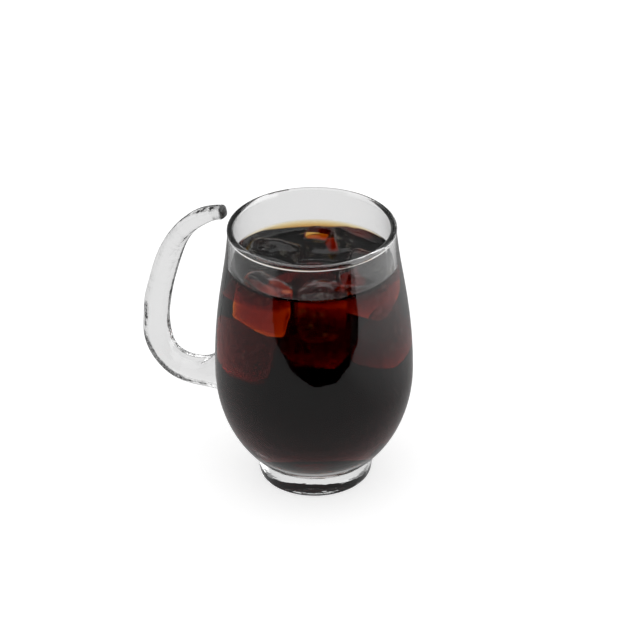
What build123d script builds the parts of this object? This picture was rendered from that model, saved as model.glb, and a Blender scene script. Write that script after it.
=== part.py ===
from build123d import *
from math import acos, asin, cos, degrees, pi, sin, sqrt
import os

# Cold coffee in a glass mug with an open, free-ended handle.
# Frame: millimetres, +Z up, origin at the centre of the foot's underside.
# The handle reaches towards -X and the XZ plane is the plane of symmetry.

# Outside of the mug
mug_height = 115.0
rim_radius = 34.0  # over the rounded lip
rim_lean = 0.08  # how far the side still leans in at the rim, per mm of height
shoulder_radius = 37.9
shoulder_height = 84.0
widest_radius = 40.7
widest_height = 49.0
lower_swell = 49.5  # from the widest ring down to where its curve would close

# Wall and floor
wall = 2.9
floor_height = 13.4  # bowl's inside floor above the foot's underside
floor_radius = 14.6  # flat middle of that floor

# Lip: a round bead, a little thicker than the wall that it closes
lip_thickness = 2.6
lip_step_out = 0.25  # how far it stands out from the outside of the wall
lip_step_in = 0.35  # and from its inside
lip_fillet = 1.2

# Foot
foot_radius = 23.2
foot_middle_radius = 24.2
foot_top_radius = 25.3
foot_rounding = 0.9
neck_rounding = 1.2  # hollow corner where the foot meets the body
recess_radius = 19.4  # shallow dome under the foot
recess_depth = 0.6

# Drink
surface_below_rim = 17.2

# Handle: centre line of the bar as (distance out from the widest ring, height),
# from inside the wall, out along the arm, up the grip and over to the free end
handle_route = [
    (-7.7, 40.5),
    (5.3, 33.6),
    (19.3, 30.6),
    (31.6, 34.6),
    (36.2, 47.5),
    (34.5, 63.0),
    (29.8, 79.0),
    (20.8, 97.0),
    (9.3, 107.2),
    (0.2, 110.7),
]
# Bar sizes as (share of the route, thickness in its plane, width across it)
handle_sizes = [
    (0.00, 24.0, 13.0),
    (0.14, 13.5, 11.0),
    (0.27, 10.6, 10.8),
    (0.42, 10.2, 11.0),
    (0.65, 9.6, 10.0),
    (0.86, 7.2, 7.6),
    (1.00, 5.6, 6.2),
]
handle_sections = 15
handle_corner = 0.38  # corner radius as a share of the bar's smaller size
handle_end_rounding = 1.5


def handle_size(share, column):
    """Thickness or width of the handle's bar, eased from one given size to the next."""
    for low, high in zip(handle_sizes, handle_sizes[1:]):
        if share <= high[0]:
            step = (share - low[0]) / (high[0] - low[0])
            return low[column] + (high[column] - low[column]) * (1 - cos(pi * step)) / 2
    return handle_sizes[-1][column]


# Middle of the lip's bead, and where its round meets the wall outside and inside
lip_radius = lip_thickness / 2
lip_middle = (rim_radius - lip_radius, mug_height - lip_radius)
lip_top = (rim_radius - lip_radius, mug_height)


def lip_joint(step, side):
    """Where the bead meets the wall that it stands proud of by a step; side is 1 outside, -1 inside."""
    reach = lip_radius - step
    return (lip_middle[0] + side * reach, lip_middle[1] - sqrt(lip_radius**2 - reach**2))


# Half outline of the bowl's inside, from its floor to the top of the lip
bowl_turn = acos(floor_radius / (widest_radius - wall))

with BuildSketch() as bowl_outline:
    with BuildLine():
        EllipticalCenterArc(
            (0, widest_height),
            widest_radius - wall,
            (widest_height - floor_height) / sin(bowl_turn),
            start_angle=180 - degrees(bowl_turn),
            arc_size=degrees(bowl_turn),
            rotation=180,
        )
        Spline(
            (widest_radius - wall, widest_height),
            (shoulder_radius - wall, shoulder_height),
            lip_joint(lip_step_in, -1),
            tangents=[(0, 1), (-rim_lean, 1)],
        )
        ThreePointArc(
            lip_joint(lip_step_in, -1),
            (lip_middle[0] - lip_radius, lip_middle[1]),
            lip_top,
        )
        Polyline(
            lip_top,
            (0, mug_height),
            (0, floor_height),
            (floor_radius, floor_height),
        )
    make_face()
    fillet(vertices().sort_by_distance(lip_joint(lip_step_in, -1))[0], lip_fillet)

# Glass mug: body with foot, arm and grip of the handle, then the bowl
body_turn = acos(foot_top_radius / widest_radius)
foot_height = widest_height - lower_swell * sin(body_turn)
dome_radius = (recess_radius**2 + recess_depth**2) / (2 * recess_depth)
dome_turn = asin(recess_radius / dome_radius)

with BuildPart() as glass_mug:
    with BuildSketch(Plane.XZ):
        with BuildLine():
            Line((0, mug_height), (0, recess_depth))
            ThreePointArc(
                (0, recess_depth),
                (
                    dome_radius * sin(dome_turn / 2),
                    recess_depth - dome_radius * (1 - cos(dome_turn / 2)),
                ),
                (recess_radius, 0),
            )
            Line((recess_radius, 0), (foot_radius, 0))
            ThreePointArc(
                (foot_radius, 0),
                (foot_middle_radius, foot_height / 2),
                (foot_top_radius, foot_height),
            )
            EllipticalCenterArc(
                (0, widest_height),
                widest_radius,
                lower_swell,
                start_angle=180 - degrees(body_turn),
                arc_size=degrees(body_turn),
                rotation=180,
            )
            Spline(
                (widest_radius, widest_height),
                (shoulder_radius, shoulder_height),
                lip_joint(lip_step_out, 1),
                tangents=[(0, 1), (-rim_lean, 1)],
            )
            ThreePointArc(
                lip_joint(lip_step_out, 1),
                (rim_radius, lip_middle[1]),
                lip_top,
            )
            Line(lip_top, (0, mug_height))
        make_face()
        corners = vertices().group_by(Axis.Y)
        fillet(corners[0].sort_by(Axis.X)[-1], foot_rounding)
        neck = vertices().sort_by_distance((foot_top_radius, foot_height))[0]
        fillet(neck, neck_rounding)
        fillet(vertices().sort_by_distance(lip_joint(lip_step_out, 1))[0], lip_fillet)
    revolve(axis=Axis.Z)

    route = Spline(
        [(-widest_radius - reach, 0, height) for reach, height in handle_route],
        mode=Mode.PRIVATE,
    )
    for index in range(handle_sections):
        share = index / (handle_sections - 1)
        thickness = handle_size(share, 1)
        width = handle_size(share, 2)
        across = Plane(route @ share, x_dir=(0, 1, 0), z_dir=route % share)
        with BuildSketch(across):
            RectangleRounded(width, thickness, handle_corner * min(width, thickness))
    loft()
    free_end = glass_mug.faces().sort_by_distance(route @ 1)[0]
    fillet(free_end.edges(), handle_end_rounding)

    with BuildSketch(Plane.XZ):
        add(bowl_outline.sketch)
    revolve(axis=Axis.Z, mode=Mode.SUBTRACT)

# Coffee: fills the bowl up to its surface
with BuildPart() as coffee:
    with BuildSketch(Plane.XZ):
        add(bowl_outline.sketch)
    revolve(axis=Axis.Z)
    split(bisect_by=Plane.XY.offset(mug_height - surface_below_rim), keep=Keep.BOTTOM)

glass_mug.part.label = "glass_mug"
coffee.part.label = "coffee"

os.makedirs("parts", exist_ok=True)
export_step(glass_mug.part, "parts/glass_mug.step")
export_step(coffee.part, "parts/coffee.step")
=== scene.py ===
import math
from functools import partial

import bmesh
import bpy
from mathutils import Euler, Matrix, Vector, noise
from mathutils.bvhtree import BVHTree


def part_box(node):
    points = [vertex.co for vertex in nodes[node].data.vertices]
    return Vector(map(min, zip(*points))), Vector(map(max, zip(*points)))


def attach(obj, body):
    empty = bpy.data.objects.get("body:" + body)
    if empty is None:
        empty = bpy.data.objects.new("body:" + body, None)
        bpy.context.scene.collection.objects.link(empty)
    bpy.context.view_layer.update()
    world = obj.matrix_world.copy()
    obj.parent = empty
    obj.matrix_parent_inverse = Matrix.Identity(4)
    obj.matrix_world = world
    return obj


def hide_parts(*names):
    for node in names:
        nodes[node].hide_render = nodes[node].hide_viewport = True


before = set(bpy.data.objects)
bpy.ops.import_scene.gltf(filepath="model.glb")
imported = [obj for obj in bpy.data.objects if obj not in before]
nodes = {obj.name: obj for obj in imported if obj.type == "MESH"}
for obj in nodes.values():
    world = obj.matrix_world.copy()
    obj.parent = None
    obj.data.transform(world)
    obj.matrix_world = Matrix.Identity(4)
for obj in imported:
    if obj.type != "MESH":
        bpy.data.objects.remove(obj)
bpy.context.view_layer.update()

# ------------------------------------------------------------ heights (metres)
MM = 0.001
coffee_low, coffee_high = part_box("coffee")
LEVEL = coffee_high.z - 0.8 * MM  # the still surface; the cubes and the edge at the wall rise over it
FLOOR = coffee_low.z
MUG_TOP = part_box("glass_mug")[1].z

# ------------------------------------------------------------ camera
AZIMUTH = math.radians(30.0)
ELEVATION = math.radians(31.4)
ROLL = math.radians(-0.8)
DISTANCE = 1.0
LENS = 137.2
SENSOR = 36.0
CLIP = (0.01, 50.0)
AIM = Vector((0.0, 0.0, MUG_TOP / 2))
AIM_RIGHT = 0.0027
AIM_UP = 0.0118

# directions along the table, as the camera sees them
ACROSS = Vector((math.cos(AZIMUTH), math.sin(AZIMUTH), 0.0))
TOWARDS = Vector((math.sin(AZIMUTH), -math.cos(AZIMUTH), 0.0))
UP = Vector((0.0, 0.0, 1.0))


def seen(across, towards, height):
    """A point from millimetres across the view, towards the camera, and up."""
    return (ACROSS * across + TOWARDS * towards + UP * height) * MM


def add_camera():
    """The camera, at the viewing angle, with the object a little left of and below the middle."""
    back = TOWARDS * math.cos(ELEVATION) + UP * math.sin(ELEVATION)
    up = back.cross(ACROSS)
    data = bpy.data.cameras.new("camera")
    data.lens = LENS
    data.sensor_width = SENSOR
    data.clip_start, data.clip_end = CLIP
    camera = new_object("camera", data)
    camera.location = AIM + back * DISTANCE
    target = AIM + ACROSS * AIM_RIGHT + up * AIM_UP
    look = (target - camera.location).normalized()
    camera.rotation_mode = "QUATERNION"
    camera.rotation_quaternion = look.to_track_quat("-Z", "Y") @ Euler((0.0, 0.0, ROLL)).to_quaternion()
    bpy.context.scene.camera = camera


def new_object(name, data):
    obj = bpy.data.objects.new(name, data)
    bpy.context.collection.objects.link(obj)
    return obj


# ------------------------------------------------------------ nodes
WHITE = (1.0, 1.0, 1.0, 1.0)


def new_material(name):
    material = bpy.data.materials.new(name)
    material.use_nodes = True
    tree = material.node_tree
    tree.nodes.clear()
    output = tree.nodes.new("ShaderNodeOutputMaterial")
    return material, tree, output


def math_node(tree, operation, first, second=None):
    """A Math node fed by sockets or plain numbers; returns its output socket."""
    node = tree.nodes.new("ShaderNodeMath")
    node.operation = operation
    for socket, value in zip(node.inputs, (first, second)):
        if value is None:
            continue
        if isinstance(value, (int, float)):
            socket.default_value = value
        else:
            tree.links.new(value, socket)
    return node.outputs[0]


def ramps(tree, level, vector, steps):
    """A level that changes along directions; each step is (direction, start, end, change)."""
    for direction, start, end, change in steps:
        along = tree.nodes.new("ShaderNodeVectorMath")
        along.operation = "DOT_PRODUCT"
        along.inputs[1].default_value = direction
        tree.links.new(vector, along.inputs[0])
        ramp = tree.nodes.new("ShaderNodeMapRange")
        ramp.inputs["From Min"].default_value = start
        ramp.inputs["From Max"].default_value = end
        ramp.inputs["To Min"].default_value = 0.0
        ramp.inputs["To Max"].default_value = change
        tree.links.new(along.outputs["Value"], ramp.inputs["Value"])
        level = math_node(tree, "ADD", ramp.outputs[0], level)
    return level


def noise_node(tree, scale, detail):
    """Noise over the piece's own coordinates; returns its value and the coordinates."""
    coords = tree.nodes.new("ShaderNodeTexCoord").outputs["Object"]
    texture = tree.nodes.new("ShaderNodeTexNoise")
    texture.inputs["Scale"].default_value = scale
    texture.inputs["Detail"].default_value = detail
    tree.links.new(coords, texture.inputs["Vector"])
    return texture.outputs["Fac"], coords


def mixed(tree, share, first, second):
    """Two shaders mixed; returns the output socket."""
    mix = tree.nodes.new("ShaderNodeMixShader")
    for socket, value in zip(mix.inputs, (share, first, second)):
        tree.links.new(value, socket)
    return mix.outputs[0]


def mirror_ray(tree):
    """1 for a ray that a surface has mirrored on its way, 0 for one that has only gone through."""
    path = tree.nodes.new("ShaderNodeLightPath")
    return math_node(tree, "MINIMUM", path.outputs["Glossy Depth"], 1.0)


# ------------------------------------------------------------ glass
GLASS_IOR = 1.5
WATER_IOR = 1.333
ICE_IOR = 1.31
MENISCUS = 3.1 * MM
MENISCUS_WIDTH = 1.9 * MM
CONTACT = LEVEL + MENISCUS  # where the drink ends on the wall

WAVES_SCALE = 130.0
WAVES_DETAIL = 2.5
WAVES_DEPTH = 0.5 * MM
FOOT_TOP = 12 * MM
FOOT_WAVES = 0.3
BOWL_WAVES = 0.02
HANDLE_X = -43 * MM  # the handle lies beyond
TIP_X = (-45 * MM, -37 * MM)
TIP_BOTTOM = 100 * MM
TIP_ROUGHNESS = 0.3
# middle of the bowl's wall: two quarter ellipses that meet at the widest ring
WIDEST_HEIGHT = 49 * MM
WIDEST_RADIUS = 39.25 * MM
LOWER_HALF = 44.0 * MM
UPPER_HALF = 102 * MM


def glass_material():
    """Clear glass. Where the drink wets the inside wall the wall itself is left to the drink's side."""
    material, tree, output = new_material("glass")
    calc = partial(math_node, tree)
    shader = tree.nodes.new("ShaderNodeBsdfPrincipled")
    shader.inputs["Base Color"].default_value = WHITE
    shader.inputs["IOR"].default_value = GLASS_IOR
    shader.inputs["Transmission Weight"].default_value = 1.0
    waves, coords = noise_node(tree, WAVES_SCALE, WAVES_DETAIL)
    split = tree.nodes.new("ShaderNodeSeparateXYZ")
    tree.links.new(coords, split.inputs[0])
    x, y, z = split.outputs
    # pressed glass is uneven on the handle and round the foot, and smooth on the bowl
    on_foot = calc("LESS_THAN", z, FOOT_TOP)
    on_handle = calc("LESS_THAN", x, HANDLE_X)
    uneven = calc("ADD", calc("MULTIPLY", on_foot, FOOT_WAVES), calc("ADD", on_handle, BOWL_WAVES))
    bump = tree.nodes.new("ShaderNodeBump")
    bump.inputs["Distance"].default_value = WAVES_DEPTH
    tree.links.new(calc("MULTIPLY", waves, uneven), bump.inputs["Height"])
    tree.links.new(bump.outputs["Normal"], shader.inputs["Normal"])
    # the handle's cut end is matt
    tip = calc("MULTIPLY", calc("GREATER_THAN", z, TIP_BOTTOM), calc("GREATER_THAN", x, TIP_X[0]))
    tip = calc("MULTIPLY", tip, calc("LESS_THAN", x, TIP_X[1]))
    tree.links.new(calc("MULTIPLY", tip, TIP_ROUGHNESS), shader.inputs["Roughness"])
    # the wetted wall lies inside the middle of the wall and below the drink's edge
    radius = calc("SQRT", calc("ADD", calc("MULTIPLY", x, x), calc("MULTIPLY", y, y)))
    low = calc("DIVIDE", calc("SUBTRACT", WIDEST_HEIGHT, z), LOWER_HALF)
    high = calc("DIVIDE", calc("SUBTRACT", z, WIDEST_HEIGHT), UPPER_HALF)
    away = calc("MAXIMUM", low, high)
    share = calc("MAXIMUM", calc("SUBTRACT", 1.0, calc("MULTIPLY", away, away)), 0.0)
    middle = calc("MULTIPLY", calc("SQRT", share), WIDEST_RADIUS)
    wet = calc("MULTIPLY", calc("LESS_THAN", radius, middle), calc("LESS_THAN", z, CONTACT))
    clear = tree.nodes.new("ShaderNodeBsdfTransparent")
    glass = mixed(tree, wet, shader.outputs[0], clear.outputs[0])
    tree.links.new(glass, output.inputs["Surface"])
    return material


# ------------------------------------------------------------ ice
# across, towards, height of the middle; sizes; turns about the same three directions; seed
ICE = [
    ("ice_1", (-16.5, -10.0, 88.8), (23, 20, 20), (-7, 8, 14), 1),
    ("ice_2", (7.6, -19.0, 87.2), (21.4, 20.6, 20), (0, 0, -6), 2),
    ("ice_3", (-18.4, 15.5, 88.6), (22, 8.6, 21), (8, 4, 50), 3),
    ("ice_4", (20.2, 7.2, 92.0), (18, 19, 22), (-10, 14, 12), 4),
    ("ice_5", (0.6, -0.8, 67.0), (18.4, 29, 17.6), (5, 4, 0), 9),
    ("ice_6", (-22.0, 3.5, 61.5), (19, 23, 21), (15, 10, 10), 6),
    ("ice_7", (22.6, -4.5, 64.5), (18, 22, 20), (-10, 15, 10), 7),
    ("ice_8", (2.5, 21.0, 87.5), (16, 17, 20), (10, -6, 10), 8),
]
RIDGED = "ice_2"
CUTS = 21
RIDGED_CUTS = 39
ROUNDING = 0.42  # share of the smallest half size
SWELLING = 0.18  # share of a ball
BALL_SIZE = 1.12
SOFT_SCALE, SOFT_DEPTH = 0.075, 1.5
RIPPLE_SCALE, RIPPLE_DEPTH = 0.28, 0.35
DRIFT = Vector((7.31, 3.77, 5.13))  # what moves the noise from seed to seed
ICE_SHARE = 0.985  # size of a piece against its hole in the drink

# the ridge on the cube at the back, in mm: a bar across, and an arm from its right end to the front
BAR_START, BAR_LENGTH = -2.5, 11.0
BAR_PLACE, BAR_SLANT = -23.3, 4.7
BAR_WIDTH = 3.8
BAR_HEIGHT = 2.9
BAR_BACK = 1.2
BAR_LEFT = (-4.2, -2.2)
BAR_RIGHT = (8.8, 10.8)
ARM_PLACE, ARM_SLANT = (7.9, -15.9), 1.2
ARM_LENGTH = 5.2
ARM_HEIGHT = 3.4
ARM_SIDE = (1.2, 2.2)
ARM_BACK = 0.3


def clamped(value):
    return min(max(value, 0.0), 1.0)


def fade(value, low, high):
    """0 below low, 1 above high, smooth between."""
    t = clamped((value - low) / (high - low))
    return t * t * (3 - 2 * t)


def ridge(spot):
    """Height of the ridge over a spot: slopes that face the viewer and let light through."""
    across, towards = spot.dot(ACROSS) / MM, spot.dot(TOWARDS) / MM
    along = (across - BAR_START) / BAR_LENGTH
    near = towards - (BAR_PLACE + BAR_SLANT * along)
    ends = fade(across, *BAR_LEFT) * (1 - fade(across, *BAR_RIGHT))
    back = fade(near, -BAR_WIDTH / 2 - BAR_BACK, -BAR_WIDTH / 2)
    bar = BAR_HEIGHT * ends * clamped(0.5 - near / BAR_WIDTH) * back
    down = (towards - ARM_PLACE[1]) / ARM_LENGTH
    beside = abs(across - (ARM_PLACE[0] + ARM_SLANT * down))
    arm = ARM_HEIGHT * clamped(1 - down) * fade(down, -ARM_BACK, 0.0) * (1 - fade(beside, *ARM_SIDE))
    return max(bar, arm) * MM


def ice_mesh(name, middle, sizes, turns, seed):
    """A half melted cube: rounded, a little swollen, with soft hollows and ripples."""
    bm = bmesh.new()
    bmesh.ops.create_cube(bm, size=2.0)
    cuts = RIDGED_CUTS if name == RIDGED else CUTS
    bmesh.ops.subdivide_edges(bm, edges=bm.edges, cuts=cuts, use_grid_fill=True)
    half = Vector(sizes) * 0.5
    rounding = ROUNDING * min(half)
    drift = DRIFT * seed
    for vertex in bm.verts:
        unit = vertex.co.copy()
        point = Vector([unit[i] * half[i] for i in range(3)])
        core = Vector([max(-(half[i] - rounding), min(half[i] - rounding, point[i])) for i in range(3)])
        off = point - core
        if off.length > 0:
            point = core + off.normalized() * rounding
        ball = unit.normalized() * (half.length / math.sqrt(3)) * BALL_SIZE
        point = point.lerp(ball, SWELLING)
        soft = noise.noise(point * SOFT_SCALE + drift) * SOFT_DEPTH
        ripple = noise.noise(point * RIPPLE_SCALE + drift) * RIPPLE_DEPTH
        vertex.co = point + point.normalized() * (soft + ripple)
    turn = Euler([math.radians(t) for t in turns]).to_matrix().to_4x4()
    basis = Matrix((ACROSS, TOWARDS, UP)).transposed().to_4x4()
    centre = seen(*middle)
    bm.transform(Matrix.Translation(centre) @ basis @ turn @ Matrix.Scale(MM, 4))
    if name == RIDGED:
        for vertex in bm.verts:
            share = fade((vertex.co.z - centre.z) / (half.z * MM), 0.1, 0.8)  # the upper part only
            vertex.co.z += ridge(vertex.co) * share
    bmesh.ops.recalc_face_normals(bm, faces=bm.faces)
    for face in bm.faces:
        face.smooth = True
    return finished(bm, name)


def finished(bm, name):
    mesh = bpy.data.meshes.new(name)
    bm.to_mesh(mesh)
    bm.free()
    return mesh


FROST_SCALE, FROST_DETAIL = 260.0, 6.0
FROST_FROM, FROST_SLOPE, FROST_MOST = 0.55, 0.5, 0.3
FROST_COLOUR = (0.95, 0.96, 1.0, 1.0)
FROST_ROUGHNESS = 0.5


def ice_material():
    """Clear, as the hole in the drink does the bending of the light, with patches of fine frost."""
    material, tree, output = new_material("ice")
    calc = partial(math_node, tree)
    clear = tree.nodes.new("ShaderNodeBsdfTransparent")
    frost = tree.nodes.new("ShaderNodeBsdfPrincipled")
    frost.inputs["Base Color"].default_value = FROST_COLOUR
    frost.inputs["Roughness"].default_value = FROST_ROUGHNESS
    texture, _ = noise_node(tree, FROST_SCALE, FROST_DETAIL)
    above = calc("MAXIMUM", calc("SUBTRACT", texture, FROST_FROM), 0.0)
    amount = calc("MINIMUM", calc("MULTIPLY", above, FROST_SLOPE), FROST_MOST)
    ice = mixed(tree, amount, clear.outputs[0], frost.outputs[0])
    tree.links.new(ice, output.inputs["Surface"])
    return material


def build_ice():
    """The pieces of ice; returns the meshes of their holes in the drink, which are a little larger."""
    holes = []
    material = ice_material()
    for name, middle, sizes, turns, seed in ICE:
        hole = ice_mesh(name, middle, sizes, turns, seed)
        holes.append(hole)
        mesh = hole.copy()
        mesh.name = name
        centre = seen(*middle)
        for vertex in mesh.vertices:
            vertex.co = centre + (vertex.co - centre) * ICE_SHARE
        obj = new_object(name, mesh)
        mesh.materials.append(material)
        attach(obj, "root")
    return holes


# ------------------------------------------------------------ drink
TOP_RINGS = 12  # rings of the drink's solid that give the slope of the wall at the surface


def inner_profile():
    """The bowl's inside as (height, radius) pairs, read off the drink's own solid."""
    rings = {}
    for vertex in nodes["coffee"].data.vertices:
        key = round(vertex.co.z, 5)
        rings[key] = max(rings.get(key, 0.0), math.hypot(vertex.co.x, vertex.co.y))
    return sorted(rings.items())


PROFILE = inner_profile()


def inner_radius(z):
    """Radius of the bowl's inside at a height: carried on straight above, held below."""
    if z >= PROFILE[-1][0]:
        (z0, r0), (z1, r1) = PROFILE[-TOP_RINGS], PROFILE[-1]
        return r1 + (z - z1) * (r1 - r0) / (z1 - z0)
    for (z0, r0), (z1, r1) in zip(PROFILE, PROFILE[1:]):
        if z <= z1:
            return r0 + (max(z, z0) - z0) * (r1 - r0) / max(z1 - z0, 1e-9)
    return PROFILE[-1][1]


SINK = 0.12 * MM  # how far the drink reaches into the wall
FILM = 0.35 * MM  # drink left on top of the ice
THINNEST = 0.2 * MM  # the least of it that smoothing leaves
BLEND = 2.0 * MM  # rounding where a cube's top meets the surface
REACH = 6 * MM  # tops deeper below the surface than this don't lift it
RAY_START = 0.2
DOWN = Vector((0, 0, -1))
AROUND = 240
BOTTOM_RINGS = 8
SIDE_RINGS, SIDE_POWER = 70, 1.3
SURFACE_RINGS, SURFACE_POWER = 96, 1.35
SMOOTHINGS, SMOOTH_SHARE = 6, 0.6
ABSORPTION = (0.874, 0.63, 0.0, 1.0)
DENSITY = 760.0


def coffee_material():
    """Clear brown liquid; the mesh says which pair of media meets at each face."""
    material, tree, output = new_material("coffee")
    shader = tree.nodes.new("ShaderNodeBsdfPrincipled")
    shader.inputs["Base Color"].default_value = WHITE
    shader.inputs["Roughness"].default_value = 0.0
    shader.inputs["Transmission Weight"].default_value = 1.0
    shader.inputs["IOR"].default_value = WATER_IOR
    ior = tree.nodes.new("ShaderNodeAttribute")
    ior.attribute_name = "ior"
    tree.links.new(ior.outputs["Fac"], shader.inputs["IOR"])
    absorb = tree.nodes.new("ShaderNodeVolumeAbsorption")
    absorb.inputs["Color"].default_value = ABSORPTION
    absorb.inputs["Density"].default_value = DENSITY
    tree.links.new(shader.outputs[0], output.inputs["Surface"])
    tree.links.new(absorb.outputs[0], output.inputs["Volume"])
    return material


def smooth_max(a, b, blend):
    """The larger of two heights, with the join rounded."""
    share = max(blend - abs(a - b), 0.0) / blend
    return max(a, b) + share * share * blend * 0.25


def surface_heights(radii, edge, holes):
    """Heights of the drink's surface, ring by ring: over the ice, over the ridge, up at the wall."""
    trees = []
    for mesh in holes:
        trees.append(BVHTree.FromPolygons([v.co for v in mesh.vertices], [p.vertices for p in mesh.polygons]))
    heights = []
    lowest = []
    for radius in radii:
        row = []
        low_row = []
        for j in range(AROUND):
            turn = 2 * math.pi * j / AROUND
            x, y = radius * math.cos(turn), radius * math.sin(turn)
            height = LEVEL
            low = -1.0
            for tree in trees:
                hit = tree.ray_cast(Vector((x, y, RAY_START)), DOWN)[0]
                if hit is not None and hit.z > LEVEL - REACH:
                    height = smooth_max(height, hit.z + FILM, BLEND)
                    low = max(low, hit.z + THINNEST)
            height += ridge(Vector((x, y, 0.0)))
            height += MENISCUS * math.exp(-(edge - radius) / MENISCUS_WIDTH)
            row.append(height)
            low_row.append(low)
        heights.append(row)
        lowest.append(low_row)
    for _ in range(SMOOTHINGS):
        fresh = [row[:] for row in heights]
        for i in range(1, len(radii) - 1):
            for j in range(AROUND):
                beside = heights[i][j - 1] + heights[i][(j + 1) % AROUND]
                mean = (heights[i - 1][j] + heights[i + 1][j] + beside) / 4
                smooth = heights[i][j] * (1 - SMOOTH_SHARE) + mean * SMOOTH_SHARE
                fresh[i][j] = max(smooth, lowest[i][j])
        heights = fresh
    return heights


def build_coffee(holes):
    """The drink in one closed mesh: underside and side just into the wall, surface, holes for the ice."""
    bm = bmesh.new()
    layer = bm.faces.layers.float.new("ior")

    def ring(radius, heights):
        turns = [2 * math.pi * j / AROUND for j in range(AROUND)]
        return [bm.verts.new((radius * math.cos(t), radius * math.sin(t), z)) for t, z in zip(turns, heights)]

    # from the middle of the underside up to the drink's edge on the wall
    side = [(inner_radius(FLOOR) * k / BOTTOM_RINGS, FLOOR - SINK) for k in range(1, BOTTOM_RINGS + 1)]
    for i in range(SIDE_RINGS + 1):
        z = FLOOR + (CONTACT - FLOOR) * (i / SIDE_RINGS) ** SIDE_POWER
        side.append((inner_radius(z) + SINK, z))
    # and over the surface to the middle
    edge = inner_radius(CONTACT)
    radii = [edge * (1 - (k / SURFACE_RINGS) ** SURFACE_POWER) for k in range(SURFACE_RINGS)]
    heights = surface_heights(radii, edge, holes)
    rings = [[bm.verts.new((0, 0, FLOOR - SINK))]]
    rings += [ring(radius, [z] * AROUND) for radius, z in side]
    side_end = len(rings) - 1
    rings += [ring(radius, row) for radius, row in zip(radii, heights)]
    rings.append([bm.verts.new((0, 0, sum(heights[-1]) / AROUND))])
    for i, (low, high) in enumerate(zip(rings, rings[1:])):
        value = WATER_IOR if i >= side_end else WATER_IOR / GLASS_IOR
        for j in range(AROUND):
            k = (j + 1) % AROUND
            if len(low) == 1:
                face = bm.faces.new((low[0], high[k], high[j]))
            elif len(high) == 1:
                face = bm.faces.new((low[j], low[k], high[0]))
            else:
                face = bm.faces.new((low[j], low[k], high[k], high[j]))
            face[layer] = value
            face.smooth = True
    bmesh.ops.recalc_face_normals(bm, faces=bm.faces)
    for hole in holes:
        start = len(bm.faces)
        bm.from_mesh(hole)
        bm.faces.ensure_lookup_table()
        fresh = bm.faces[start:]
        for face in fresh:
            face[layer] = WATER_IOR / ICE_IOR
        bmesh.ops.reverse_faces(bm, faces=fresh)
    obj = new_object("coffee_fill", finished(bm, "coffee_fill"))
    obj.data.materials.append(coffee_material())
    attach(obj, "root")
    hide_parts("coffee")


# ------------------------------------------------------------ surroundings
THROUGH_DIM = -0.17  # the surroundings seen through glass, against 1 seen directly
# what the gloss sees of the room: a bright ceiling, and a window at the right
MIRRORED_ROOM = 1.0
ROOM_STEPS = ((UP, 0.6, 0.8, 1.2), (ACROSS, 0.62, 0.72, 1.7))
# the floor as it is seen, and seen through glass, where half its colour and a glow of its own are painted
# light that makes its shadow fainter
FLOOR_SIZE = 3.0
FLOOR_DROP = 0.00005
FLOOR_COLOUR, FLOOR_COLOUR_THROUGH = 0.7, 0.35
FLOOR_GLOW, FLOOR_GLOW_THROUGH = 0.6, 0.52
# what the gloss sees of the floor: dim in the middle, light at the right, darkest at the left
MIRRORED_FLOOR = 0.36
FLOOR_STEPS = ((ACROSS, 0.10, 0.28, 0.64), (ACROSS, 0.38, 0.5, 1.7), (ACROSS, -0.36, -0.46, -0.3))
# upright cards for the gloss: distance towards the camera in mm, outline in mm, shade
DARK_OUTLINE = [
    (-200, 330), (-200, 110), (-160, 50), (-125, 38), (-90, 33), (-60, 25), (-25, 20), (0, 15), (30, 15),
    (60, 12), (90, 16), (112, 16), (140, 24), (160, 24), (186, 40), (182, 75), (178, 330),
]
GREY_OUTLINE = [(-260, 150), (260, 150), (260, 255), (-260, 255)]
CARDS = (
    ("dark_card", 150.0, DARK_OUTLINE, 0.0),  # the unlit room in front
    # painted reflection: a card that glows at shade 0.3 and only mirrored rays see, standing in for a grey
    # board high up behind
    ("grey_reflection_card", -170.0, GREY_OUTLINE, 0.3),  # a grey board high up behind
)


def add_world():
    """White all round; the gloss sees a room with a bright ceiling and a window."""
    world = bpy.data.worlds.new("studio")
    bpy.context.scene.world = world
    world.use_nodes = True
    tree = world.node_tree
    tree.nodes.clear()
    calc = partial(math_node, tree)
    output = tree.nodes.new("ShaderNodeOutputWorld")
    background = tree.nodes.new("ShaderNodeBackground")
    path = tree.nodes.new("ShaderNodeLightPath")
    coords = tree.nodes.new("ShaderNodeTexCoord")
    mirrored = ramps(tree, MIRRORED_ROOM, coords.outputs["Generated"], ROOM_STEPS)
    plain = calc("ADD", calc("MULTIPLY", path.outputs["Is Transmission Ray"], THROUGH_DIM), 1.0)
    share = mirror_ray(tree)
    mirrored = calc("MULTIPLY", mirrored, share)
    plain = calc("MULTIPLY", plain, calc("SUBTRACT", 1.0, share))
    tree.links.new(calc("ADD", plain, mirrored), background.inputs["Strength"])
    tree.links.new(background.outputs[0], output.inputs[0])


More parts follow.
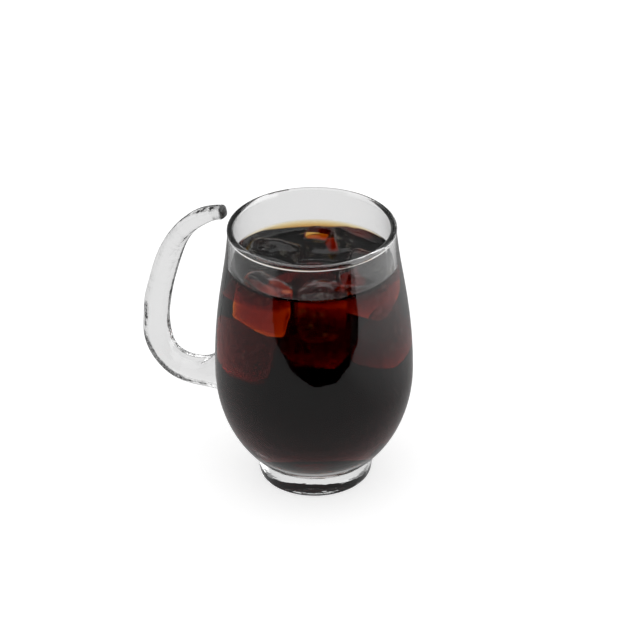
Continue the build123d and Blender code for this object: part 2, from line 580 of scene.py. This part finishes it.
def add_floor():
    """A white floor that keeps the object's shadow, made fainter through glass by painted light; the gloss
    sees it dimmer.
    """
    mesh = bpy.data.meshes.new("floor")
    s = FLOOR_SIZE
    mesh.from_pydata([(-s, -s, 0), (s, -s, 0), (s, s, 0), (-s, s, 0)], [], [(0, 1, 2, 3)])
    floor = new_object("floor", mesh)
    floor.location.z = -FLOOR_DROP
    material, tree, output = new_material("floor")
    calc = partial(math_node, tree)
    path = tree.nodes.new("ShaderNodeLightPath")
    through = path.outputs["Is Transmission Ray"]
    diffuse = tree.nodes.new("ShaderNodeBsdfDiffuse")
    # seen through glass the floor takes less colour and, below, a glow of its own: painted light that makes
    # its shadow fainter there
    paint = calc("SUBTRACT", FLOOR_COLOUR, calc("MULTIPLY", through, FLOOR_COLOUR - FLOOR_COLOUR_THROUGH))
    shade = tree.nodes.new("ShaderNodeCombineColor")
    for socket in shade.inputs:
        tree.links.new(paint, socket)
    tree.links.new(shade.outputs[0], diffuse.inputs["Color"])
    glow = tree.nodes.new("ShaderNodeEmission")
    camera_glow = calc("MULTIPLY", path.outputs["Is Camera Ray"], FLOOR_GLOW)
    # the glow for rays through glass is painted light over the shadow; the camera's glow keeps the floor
    # evenly white
    level = calc("ADD", camera_glow, calc("MULTIPLY", through, FLOOR_GLOW_THROUGH))
    tree.links.new(level, glow.inputs["Strength"])
    add = tree.nodes.new("ShaderNodeAddShader")
    tree.links.new(diffuse.outputs[0], add.inputs[0])
    tree.links.new(glow.outputs[0], add.inputs[1])
    dim = tree.nodes.new("ShaderNodeEmission")
    coords = tree.nodes.new("ShaderNodeTexCoord")
    tree.links.new(ramps(tree, MIRRORED_FLOOR, coords.outputs["Object"], FLOOR_STEPS), dim.inputs["Strength"])
    surface = mixed(tree, mirror_ray(tree), add.outputs[0], dim.outputs[0])
    tree.links.new(surface, output.inputs["Surface"])
    mesh.materials.append(material)


def add_card(name, distance, outline, shade):
    """An upright card of one plain shade that only mirrored rays see; seen through, it is clear."""
    mesh = bpy.data.meshes.new(name)
    mesh.from_pydata([seen(a, distance, h) for a, h in outline], [], [list(range(len(outline)))])
    card = new_object(name, mesh)
    material, tree, output = new_material(name)
    clear = tree.nodes.new("ShaderNodeBsdfTransparent")
    glow = tree.nodes.new("ShaderNodeEmission")
    glow.inputs["Strength"].default_value = shade
    surface = mixed(tree, mirror_ray(tree), clear.outputs[0], glow.outputs[0])
    tree.links.new(surface, output.inputs["Surface"])
    mesh.materials.append(material)
    card.visible_camera = False
    card.visible_diffuse = False
    card.visible_shadow = False


# ------------------------------------------------------------ the scene
add_camera()
add_world()
add_floor()
for card in CARDS:
    add_card(*card)
glass = nodes["glass_mug"].data
glass.materials.clear()
glass.materials.append(glass_material())
build_coffee(build_ice())

scene = bpy.context.scene
scene.view_settings.view_transform = "Standard"
